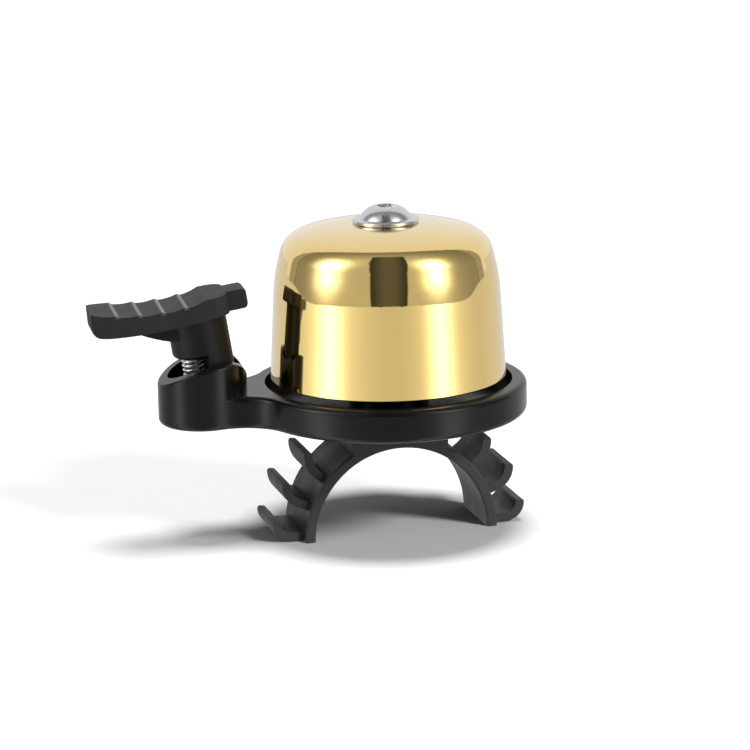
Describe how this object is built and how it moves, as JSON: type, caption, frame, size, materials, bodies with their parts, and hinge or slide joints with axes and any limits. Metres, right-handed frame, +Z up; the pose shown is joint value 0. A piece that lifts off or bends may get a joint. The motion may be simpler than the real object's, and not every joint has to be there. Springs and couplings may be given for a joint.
{
  "type": "bicycle bell",
  "caption": "Thumb-lever bicycle bell: brass gong on a swivelling black base with a sprung striker lever and a half-ring handlebar saddle with hooks for a rubber ring.",
  "frame": {"origin": "centre of the handlebar bore, on the line between the saddle's feet", "axes": "+Y along the handlebar, +Z up the gong's axis, thumb lever towards -X"},
  "size_m": [0.0598, 0.0378, 0.0446],
  "materials": {
    "black_plastic": "satin moulded",
    "polished_brass": "mirror polished",
    "chrome": "polished",
    "steel": "zinc plated",
    "spring_steel": "bright drawn wire"
  },
  "bodies": {
    "saddle": {"handlebar_saddle": "black_plastic", "swivel_washer": "steel", "wave_washer": "steel"},
    "head": {"base_housing": "black_plastic", "swivel_bolt": "steel", "lock_washer": "steel", "centre_post": "steel", "crown_washer": "steel", "gong": "polished_brass", "cap_screw": "chrome", "pivot_pin": "steel", "return_spring": "spring_steel"},
    "lever": {"thumb_lever": "black_plastic"}
  },
  "joints": [
    {"name": "head_swivel", "type": "hinge", "parent": "saddle", "child": "head", "pos_m": [0, 0, 0.01615], "axis": [0, 0, 1], "continuous": true},
    {"name": "lever_press", "type": "hinge", "parent": "head", "child": "lever", "pos_m": [-0.02293, 0.00185, 0.02315], "axis": [-0.0802, -0.9968, 0], "range_deg": [-22, 12], "stiffness_Nm_per_rad": 0.12, "deforming": ["return_spring"]}
  ]
}
